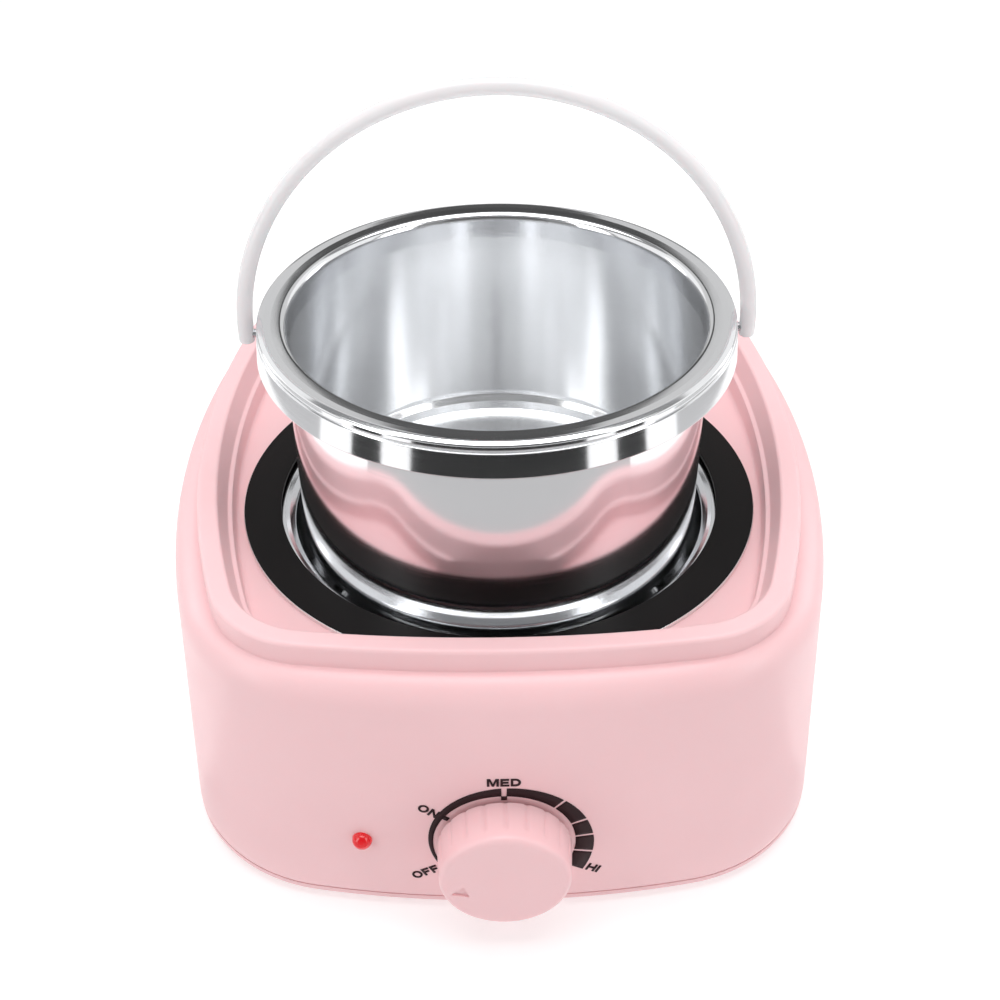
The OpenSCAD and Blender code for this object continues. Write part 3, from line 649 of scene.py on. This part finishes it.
def letter_loops(letter):
    """Outer loop and holes of a bold letter, in millimetres, and its width."""
    h, t = LETTER_H, STROKE
    if letter == "I":
        return [[(0, 0), (t, 0), (t, h), (0, h)]], t
    if letter == "H":
        w, m = 2.9, h / 2
        return [[(0, 0), (t, 0), (t, m - t / 2), (w - t, m - t / 2), (w - t, 0), (w, 0), (w, h), (w - t, h),
                 (w - t, m + t / 2), (t, m + t / 2), (t, h), (0, h)]], w
    if letter == "F":
        w, m = 2.4, h / 2
        return [[(0, 0), (t, 0), (t, m - t / 2), (w - 0.3, m - t / 2), (w - 0.3, m + t / 2), (t, m + t / 2),
                 (t, h - t), (w, h - t), (w, h), (0, h)]], w
    if letter == "E":
        w, m = 2.5, h / 2
        return [[(0, 0), (w, 0), (w, t), (t, t), (t, m - t / 2), (w - 0.2, m - t / 2), (w - 0.2, m + t / 2),
                 (t, m + t / 2), (t, h - t), (w - 0.05, h - t), (w - 0.05, h), (0, h)]], w
    if letter == "N":
        w = 2.9
        return [[(0, 0), (t, 0), (t, h - 1.15), (w - t, 0), (w, 0), (w, h), (w - t, h), (w - t, 1.15),
                 (t, h), (0, h)]], w
    if letter == "M":
        w = 3.4
        return [[(0, 0), (t, 0), (t, h - 1.0), (w / 2 - 0.3, 0), (w / 2 + 0.3, 0), (w - t, h - 1.0),
                 (w - t, 0), (w, 0), (w, h), (w - t - 0.25, h), (w / 2, 1.0), (t + 0.25, h), (0, h)]], w
    if letter == "O":
        w = 3.2
        loops = []
        for shrink, n in ((0, 40), (t, 32)):
            rx, ry = w / 2 - shrink, h / 2 - shrink * 0.85
            round_it = [2 * math.pi * i / n for i in range(n)]
            loops.append([(w / 2 + rx * math.cos(a), h / 2 + ry * math.sin(a)) for a in round_it])
        return loops, w
    w = 2.9
    loops = []
    for shrink, n in ((0, 24), (t, 20)):
        rx, ry = w * 0.58 - shrink, h / 2 - shrink
        cx = w - w * 0.58
        bow = [math.pi * (i / n - 0.5) for i in range(n + 1)]
        loops.append([(shrink, shrink)] + [(cx + rx * math.cos(a), h / 2 + ry * math.sin(a)) for a in bow]
                     + [(shrink, h - shrink)])
    return loops, w


def dial_word(word, angle, radius, tilt):
    """A generic dial word as thin solid print, laid along a spoke of the dial."""
    gap = 0.42
    shapes = [letter_loops(letter) for letter in word]
    length = sum(w for loops, w in shapes) + gap * (len(word) - 1)
    a = math.radians(angle)
    cx, cz = radius * math.sin(a), KNOB_Z + radius * math.cos(a)
    c, s = math.cos(math.radians(tilt)), math.sin(math.radians(tilt))
    vertices, faces = [], []
    pen = -length / 2
    for loops, width in shapes:
        flat = [p for loop in loops for p in loop]
        places = []
        for px, py in flat:
            u, v = px + pen, py - LETTER_H / 2
            places.append((cx + u * c - v * s, cz + u * s + v * c))
        triangles = tessellate_polygon([[Vector((x, y, 0)) for x, y in loop] for loop in loops])
        start, n = len(vertices), len(flat)
        for proud in (PRINT_IN, PRINT_OUT):
            vertices += [(x, wall_y(x, proud), z) for x, z in places]
        for t in triangles:
            faces.append(tuple(start + i for i in t))
            faces.append(tuple(start + n + i for i in reversed(t)))
        first = 0
        for loop in loops:
            m = len(loop)
            for i in range(m):
                p, q = start + first + i, start + first + (i + 1) % m
                faces.append((p, q, n + q, n + p))
            first += m
        pen += width + gap
    return make_object("word_" + word.lower(), vertices, faces, [M["dial_ink"]], weighted=False)


for word, angle, radius, tilt in (("OFF", -120, 27.4, 30), ("ON", -57, 25.9, -33), ("MED", 0, 26.6, 0),
                                  ("HI", 116.5, 29.6, -27)):
    on_body(dial_word(word, angle, radius, tilt), "housing", "dial_ink")


# ---- pilot lamp ----
def lamp():
    """A domed lens that stands out of the front wall: (radius, distance out of the wall) turned."""
    r, dome, foot = 2.95, 2.75, 0.4
    y_wall = wall_y(LAMP_X, 0)
    profile = rounded([(2.1, -6, 0), (r, -6, 0.1), (r, 0.2, 0.0)], 3)
    for rise in range(6, 90, 7):
        a = math.radians(rise)
        profile.append((r * math.cos(a), foot + dome * math.sin(a)))
    profile.append((0.0, foot + dome))
    segments = 64
    turns = [2 * math.pi * i / segments for i in range(segments)]
    rings = [[(LAMP_X + q * math.cos(a), y_wall - d, LAMP_Z + q * math.sin(a)) for a in turns]
             for q, d in profile]
    vertices, faces, used = loft(rings)
    return make_object("pilot_lens", vertices, faces, [M["red_lens"]], used)


on_body(lamp(), "housing", "red_lens", "indicator_lens")

# ---- stage ----
# camera: distance ahead of the well's axis and height over the deck in millimetres, its angles in
# degrees, and its focal length for a picture 1000 units wide
CAM_D, CAM_H, CAM_PITCH, CAM_ROLL, FOCAL_PX = 358.9, 271.5, 37.59, 0.61, 1395.0
CAM_YAW = 0.37
# the world's strength, where the strip lights stand, and each light's watts
WORLD, STRIP_AZ, STRIP_W, EDGE_W, TOP_W, FAR_W = 0.27, 58.0, 2.85, 0.5, 13.5, 10.0
# the tent's wall, in metres: its heights and its distance from the well's axis
TENT_HEIGHTS, TENT_R = (0.35, 1.5), 1.3
# the floor cards' inner and outer edges, in metres from the well's axis
FLAG_REACH, FRONT_CARD_REACH = (0.30, 0.62), (0.12, 0.30)
FLAG_CLOTH = rough_solid("flag_cloth", (0.008, 0.008, 0.008), 0.9)
CARD_PAPER = rough_solid("card_paper", (0.48, 0.48, 0.485), 0.9)


def stage():
    mesh = bpy.data.meshes.new("floor")
    mesh.from_pydata([(-4, -4, 0), (4, -4, 0), (4, 4, 0), (-4, 4, 0)], [], [(0, 1, 2, 3)])
    material, tree, principled = shader("floor_paper")
    tree.links.new(ramp(tree, noise(tree, 3.0), [(0.3, (0.64, 0.64, 0.64)), (0.7, (0.66, 0.66, 0.66))]),
                   principled.inputs["Base Color"])
    principled.inputs["Roughness"].default_value = 0.9
    principled.inputs["Specular IOR Level"].default_value = 0.1
    principled.inputs["Emission Color"].default_value = (1, 1, 1, 1)
    principled.inputs["Emission Strength"].default_value = 0.46
    mesh.materials.append(material)
    floor = bpy.data.objects.new("floor", mesh)
    bpy.context.scene.collection.objects.link(floor)


def area_light(name, place, aim, size, power, mirrored=True):
    data = bpy.data.lights.new(name, "AREA")
    data.shape = "RECTANGLE"
    data.size, data.size_y = size
    data.energy = power
    light = bpy.data.objects.new(name, data)
    light.location = place
    light.rotation_euler = (Vector(aim) - Vector(place)).to_track_quat("-Z", "Y").to_euler()
    light.visible_camera = False
    light.visible_glossy = mirrored
    bpy.context.scene.collection.objects.link(light)


def flag(name, reach, turns, cloth):
    """A card lying round the object, out of shot, that the polished metal mirrors."""
    (r0, r1), (a0, a1) = reach, turns
    steps = 24
    vertices, faces = [], []
    for i in range(steps + 1):
        a = math.radians(a0 + (a1 - a0) * i / steps)
        vertices += [(r * math.sin(a), SHIFT * MM - r * math.cos(a), 0.001) for r in (r0, r1)]
    for i in range(steps):
        faces.append((2 * i, 2 * i + 1, 2 * i + 3, 2 * i + 2))
    mesh = bpy.data.meshes.new(name)
    mesh.from_pydata(vertices, [], faces)
    mesh.materials.append(cloth)
    card = bpy.data.objects.new(name, mesh)
    card.visible_camera = False
    card.visible_diffuse = False
    card.visible_shadow = False
    bpy.context.scene.collection.objects.link(card)


def panel(name, turns, heights, distance, brightness):
    """A curved panel of even brightness that only the polished metal sees, like a studio tent's wall."""
    material, tree, principled = shader(name)
    principled.inputs["Base Color"].default_value = (0, 0, 0, 1)
    weave = ramp(tree, noise(tree, 6.0), [(0.3, (brightness * 0.96,) * 3), (0.7, (brightness,) * 3)])
    tree.links.new(weave, principled.inputs["Emission Color"])
    principled.inputs["Emission Strength"].default_value = 1.0
    steps = 24
    vertices = [around(turns[0] + (turns[1] - turns[0]) * i / steps, distance, z)
                for i in range(steps + 1) for z in heights]
    faces = [(2 * i, 2 * i + 1, 2 * i + 3, 2 * i + 2) for i in range(steps)]
    mesh = bpy.data.meshes.new(name)
    mesh.from_pydata(vertices, [], faces)
    mesh.materials.append(material)
    card = bpy.data.objects.new(name, mesh)
    card.visible_camera = False
    card.visible_diffuse = False
    card.visible_shadow = False
    bpy.context.scene.collection.objects.link(card)


def around(azimuth, distance, height):
    """A place seen from the well's axis: azimuth from the front, positive to the right."""
    a = math.radians(azimuth)
    return (distance * math.sin(a), SHIFT * MM - distance * math.cos(a), height)


def lights():
    world = bpy.data.worlds.new("studio")
    bpy.context.scene.world = world
    world.use_nodes = True
    background = world.node_tree.nodes["Background"]
    background.inputs["Color"].default_value = (0.98, 0.99, 1.0, 1)
    background.inputs["Strength"].default_value = WORLD
    for name, side in (("left", -1), ("right", 1)):
        place = around(side * STRIP_AZ, 0.9, 0.6)
        area_light("strip_" + name, place, (0, SHIFT * MM, place[2]), (0.32, 1.1), STRIP_W)
        place = around(side * 118, 0.9, 0.34)
        area_light("edge_" + name, place, (0, SHIFT * MM, place[2]), (0.2, 0.5), EDGE_W)
    area_light("softbox_top", (0, 0.05, 1.35), (0, 0.0, 0.1), (1.3, 1.0), TOP_W)
    area_light("far_floor", (0, 1.6, 1.6), (0, 1.3, 0), (2.4, 1.2), FAR_W, mirrored=False)
    for name, side in (("left", -1), ("right", 1)):
        panel("tent_" + name, tuple(sorted((side * 72, side * 150))), TENT_HEIGHTS, TENT_R, 0.95)
        panel("tent_back_" + name, tuple(sorted((side * 150, side * 175))), TENT_HEIGHTS, TENT_R, 0.62)
    panel("tent_back", (175, 185), TENT_HEIGHTS, TENT_R, 0.05)
    panel("tent_front", (-30, 30), (0.6, TENT_HEIGHTS[1]), TENT_R, 0.09)
    flag("flag_centre", FLAG_REACH, (-36, 36), FLAG_CLOTH)
    flag("card_front", FRONT_CARD_REACH, (-66, 66), CARD_PAPER)
    for name, side in (("left", -1), ("right", 1)):
        flag("flag_" + name, FLAG_REACH, tuple(sorted((side * 49, side * 63))), FLAG_CLOTH)
        flag("card_" + name, FLAG_REACH, tuple(sorted((side * 80, side * 165))), CARD_PAPER)


def camera():
    data = bpy.data.cameras.new("camera")
    data.sensor_width = 36
    data.lens = FOCAL_PX / 1000 * 36
    data.shift_x = 0.0013
    data.clip_start = 0.01
    cam = bpy.data.objects.new("camera", data)
    turn_left = math.radians(CAM_YAW)
    cam.location = (-CAM_D * math.sin(turn_left) * MM, (SHIFT - CAM_D * math.cos(turn_left)) * MM,
                    (DECK_Z + CAM_H) * MM)
    turn = (Matrix.Rotation(-turn_left, 4, "Z") @ Matrix.Rotation(math.radians(90 - CAM_PITCH), 4, "X")
            @ Matrix.Rotation(math.radians(-CAM_ROLL), 4, "Z"))
    cam.rotation_euler = turn.to_euler()
    bpy.context.scene.collection.objects.link(cam)
    bpy.context.scene.camera = cam


stage()
lights()
camera()
bpy.context.scene.view_settings.view_transform = "Standard"
